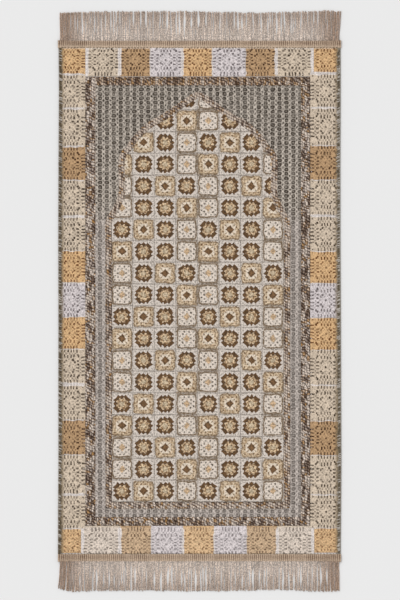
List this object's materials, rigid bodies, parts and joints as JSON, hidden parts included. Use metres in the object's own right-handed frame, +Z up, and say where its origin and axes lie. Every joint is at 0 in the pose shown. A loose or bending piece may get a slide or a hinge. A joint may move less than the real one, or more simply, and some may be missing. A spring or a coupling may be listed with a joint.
{
  "type": "prayer rug",
  "caption": "Thin flat prayer rug with a patchwork border, an arched niche of small squares and a fringed heading on each short end.",
  "frame": {"origin": "middle of the underside, on the surface that the rug lies on", "axes": "+Y along the rug's length towards the arch's point, +X to the right seen from above, +Z up"},
  "size_m": [0.685, 1.4033, 0.0061],
  "materials": {
    "woven_cloth": "soft woven cloth in cream, tan, ochre, lavender white, brown and grey, matte",
    "edge_yarn": "dark olive grey overlocked yarn, matte",
    "fringe_yarn": "taupe yarn with a slight sheen"
  },
  "bodies": {
    "root": {"rug_cloth": "woven_cloth", "side_edge_left": "edge_yarn", "side_edge_right": "edge_yarn", "fringe_top": "fringe_yarn", "fringe_bottom": "fringe_yarn"}
  },
  "joints": []
}
